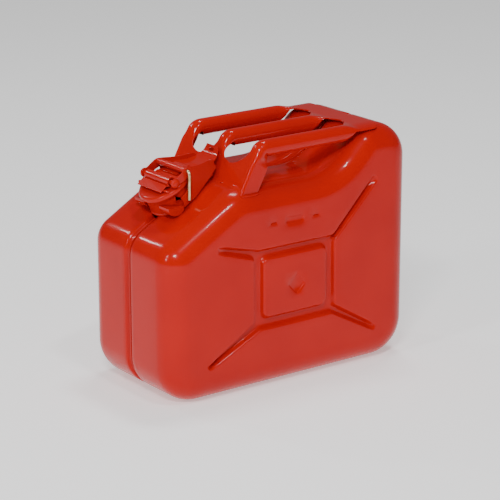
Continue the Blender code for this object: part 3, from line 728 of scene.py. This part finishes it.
def add_lever_walls(bm):
    """The two side walls, pulled together towards the tab."""
    for side in (-1, 1):
        face = bm.faces.new([bm.verts.new((u * MM, side * WALL_OUT * MM, w * MM)) for u, w in wall_outline()])
        grown = bmesh.ops.extrude_face_region(bm, geom=[face])["geom"]
        moved = [item for item in grown if isinstance(item, bmesh.types.BMVert)]
        bmesh.ops.translate(bm, verts=moved, vec=(0, -side * WALL_T * MM, 0))
    everything = bm.verts[:] + bm.edges[:] + bm.faces[:]
    bmesh.ops.bisect_plane(bm, geom=everything, plane_co=(TAPER_U * MM, 0, 0), plane_no=(1, 0, 0))
    for vert in bm.verts:
        vert.co.y -= math.copysign(max(0.0, vert.co.x - TAPER_U * MM) * TAPER, vert.co.y)


def add_lever_trough(bm):
    """The web between the walls, with the thumb tab at its end and a slot across the tab."""
    line = smooth_profile([(22.8, 34.6), (26.0, 30.4), (31.0, 25.6), (38.0, 21.2), (46.0, 17.0), (54.0, 14.2),
                           (60.0, 13.2), (66.0, 13.3)])
    line += [(68.0, 13.9), SLOT_START, SLOT_END, (74.0, 17.9), (75.2, 19.2)]
    stations = []
    for u, w in line:
        half = trough_half(u) if u <= TAB_U else TAB_HALF - (u - TAB_U) * TAB_TAPER
        columns = [-half, -SLOT_HALF, SLOT_HALF, half]
        stations.append([[bm.verts.new((u * MM, y * MM, (w + lift) * MM)) for y in columns]
                         for lift in (WEB_HALF_T, -WEB_HALF_T)])
    last = len(stations) - 1
    slot_at = line.index(SLOT_START)
    for index in range(last):
        here, after = stations[index], stations[index + 1]
        in_slot = index == slot_at
        for column in (0, 2) if in_slot else (0, 1, 2):
            for layer in (0, 1):
                bm.faces.new((here[layer][column], here[layer][column + 1],
                              after[layer][column + 1], after[layer][column]))
        for column in (0, 1, 2, 3) if in_slot else (0, 3):
            bm.faces.new((here[0][column], here[1][column], after[1][column], after[0][column]))
    slot_ends = (slot_at, slot_at + 1)
    for index in (0, *slot_ends, last):
        top, low = stations[index]
        for column in (1,) if index in slot_ends else (0, 1, 2):
            bm.faces.new((top[column], top[column + 1], low[column + 1], low[column]))


def add_lever_knuckle(bm):
    """The tube across the lever that the locking pin runs through."""
    half = trough_half(LOCK[0])
    rows = []
    for y, radius in ((-half, KNUCKLE_R), (half, KNUCKLE_R), (half, KNUCKLE_BORE_R), (-half, KNUCKLE_BORE_R),
                      (-half, KNUCKLE_R)):
        rows.append([bm.verts.new((u * MM, y * MM, w * MM)) for u, w in arc(LOCK, radius, 0, 345, 23)])
    grid_faces(bm, rows, closed=True)


def lever_pressing():
    """The lever: two side walls with a trough between them that rises into a slotted thumb tab."""
    bm = bmesh.new()
    add_lever_walls(bm)
    add_lever_trough(bm)
    add_lever_knuckle(bm)
    bmesh.ops.remove_doubles(bm, verts=bm.verts, dist=0.002 * MM)
    bmesh.ops.transform(bm, matrix=CLOSURE, verts=bm.verts)
    bmesh.ops.recalc_face_normals(bm, faces=bm.faces)
    piece = finish_piece("lever_pressing", bm, CLOSURE_PAINT, "lever",
                         ["cam_lever"], sharp=38)
    edge = piece.modifiers.new("edge", "BEVEL")
    edge.width = 0.4 * MM
    edge.segments = 3
    edge.angle_limit = math.radians(40)
    edge.harden_normals = True


def make_closure():
    make_neck_and_cup()
    for label in SIDES:
        soft_copy("neck_lug_" + label, "lug_" + label, CLOSURE_PAINT, "root", 0.9)
    soft_copy("hinge_bracket", "hinge_ears", CLOSURE_PAINT, "root", 0.3, 2)
    lever_pressing()
    soft_copy("lid_bridge", "bridge_pressing", CLOSURE_PAINT, "lid", 0.4)
    soft_copy("lid_hinge_strap", "strap_pressing", CLOSURE_PAINT, "lid", 0.35)
    soft_copy("lid_cross_rod", "cross_wire", CLOSURE_PAINT, "lid", 0.4, 2)


# ---------------------------------------------------------------- studio

WORLD_LIGHT, FLOOR_LIGHT = 0.20, 0.46
FLOOR_HALF, FLOOR_Z = 30.0, -0.0005
LAMP_AIM = (0, 0, 0.15)
# Each lamp: name, place, (width, height) and watts, in metres.
LAMPS = [
    ("key_left", (-1.35, -1.45, 1.75), (0.50, 0.22), 31),
    ("edge_near", (-0.22, -1.15, 1.95), (0.26, 0.10), 9),
    ("edge_front", (-0.75, 1.75, 1.45), (0.10, 0.22), 4),
    ("strip_left", (-2.2, -0.35, 1.2), (0.22, 0.9), 12),
    ("top", (0.5, 0.3, 2.4), (0.6, 0.30), 17),
]
CAMERA_AZIMUTH, CAMERA_ELEVATION, CAMERA_DISTANCE = math.radians(36.42), math.radians(16.78), 2.472
CAMERA_AIM, CAMERA_LENS, CAMERA_SHIFT = (0, 0, 0.150), 153.0, (-0.0036, -0.0196)


def add_light(name, place, size, power):
    data = bpy.data.lights.new(name, "AREA")
    data.shape = "RECTANGLE"
    data.size, data.size_y = size
    data.energy = power
    lamp = bpy.data.objects.new(name, data)
    lamp.location = place
    lamp.rotation_euler = (Vector(place) - Vector(LAMP_AIM)).to_track_quat("Z", "Y").to_euler()
    bpy.context.scene.collection.objects.link(lamp)


def make_floor():
    """A pale floor that glows a little, so that it stays light right up to the can."""
    bm = bmesh.new()
    corners = ((-1, -1), (1, -1), (1, 1), (-1, 1))
    bm.faces.new([bm.verts.new((x * FLOOR_HALF, y * FLOOR_HALF, FLOOR_Z)) for x, y in corners])
    mesh = bpy.data.meshes.new("floor")
    bm.to_mesh(mesh)
    bm.free()
    floor = bpy.data.objects.new("floor", mesh)
    bpy.context.scene.collection.objects.link(floor)
    material, tree, shader, coords = new_material("pale_floor")
    tone = ramp(tree, noise(tree, coords, 3.0, 2.0), (0.90, 0.90, 0.90, 1), (0.93, 0.93, 0.93, 1))
    tree.links.new(tone, shader.inputs["Base Color"])
    shader.inputs["Roughness"].default_value = 0.9
    shader.inputs["Specular IOR Level"].default_value = 0.1
    shader.inputs["Emission Color"].default_value = (1, 1, 1, 1)
    shader.inputs["Emission Strength"].default_value = FLOOR_LIGHT
    mesh.materials.append(material)


def make_studio():
    world = bpy.data.worlds.new("studio")
    bpy.context.scene.world = world
    world.use_nodes = True
    background = world.node_tree.nodes["Background"]
    background.inputs["Color"].default_value = (1, 1, 1, 1)
    background.inputs["Strength"].default_value = WORLD_LIGHT
    make_floor()
    for name, place, size, power in LAMPS:
        add_light(name, place, size, power)


def make_camera():
    """The camera at the photo's place, height and lens."""
    back = Vector((-math.sin(CAMERA_AZIMUTH) * math.cos(CAMERA_ELEVATION),
                   -math.cos(CAMERA_AZIMUTH) * math.cos(CAMERA_ELEVATION), math.sin(CAMERA_ELEVATION)))
    data = bpy.data.cameras.new("camera")
    data.lens = CAMERA_LENS
    data.sensor_width = 36.0
    data.shift_x, data.shift_y = CAMERA_SHIFT
    camera = bpy.data.objects.new("camera", data)
    camera.location = Vector(CAMERA_AIM) + back * CAMERA_DISTANCE
    camera.rotation_euler = back.to_track_quat("Z", "Y").to_euler()
    bpy.context.scene.collection.objects.link(camera)
    bpy.context.scene.camera = camera


def paint_frame():
    """Give every CAD node that still shows its finished material."""
    special = {"locking_pin": YELLOW_ZINC, "hinge_pin": YELLOW_ZINC, "breather_tube": BARE_STEEL,
               "lid_gasket": RUBBER, "seam_weld_bead": BEAD_PAINT}
    for name, obj in NODES.items():
        material = special.get(name)
        if material is None:
            material = HANDLE_PAINT if name.startswith("handle") else CLOSURE_PAINT
        obj.data.materials.clear()
        obj.data.materials.append(material)


paint_frame()
for half_label, half_side in SIDES.items():
    body_half(half_label, half_side)
handle_pressing()
leg_feet()
make_closure()
make_studio()
make_camera()
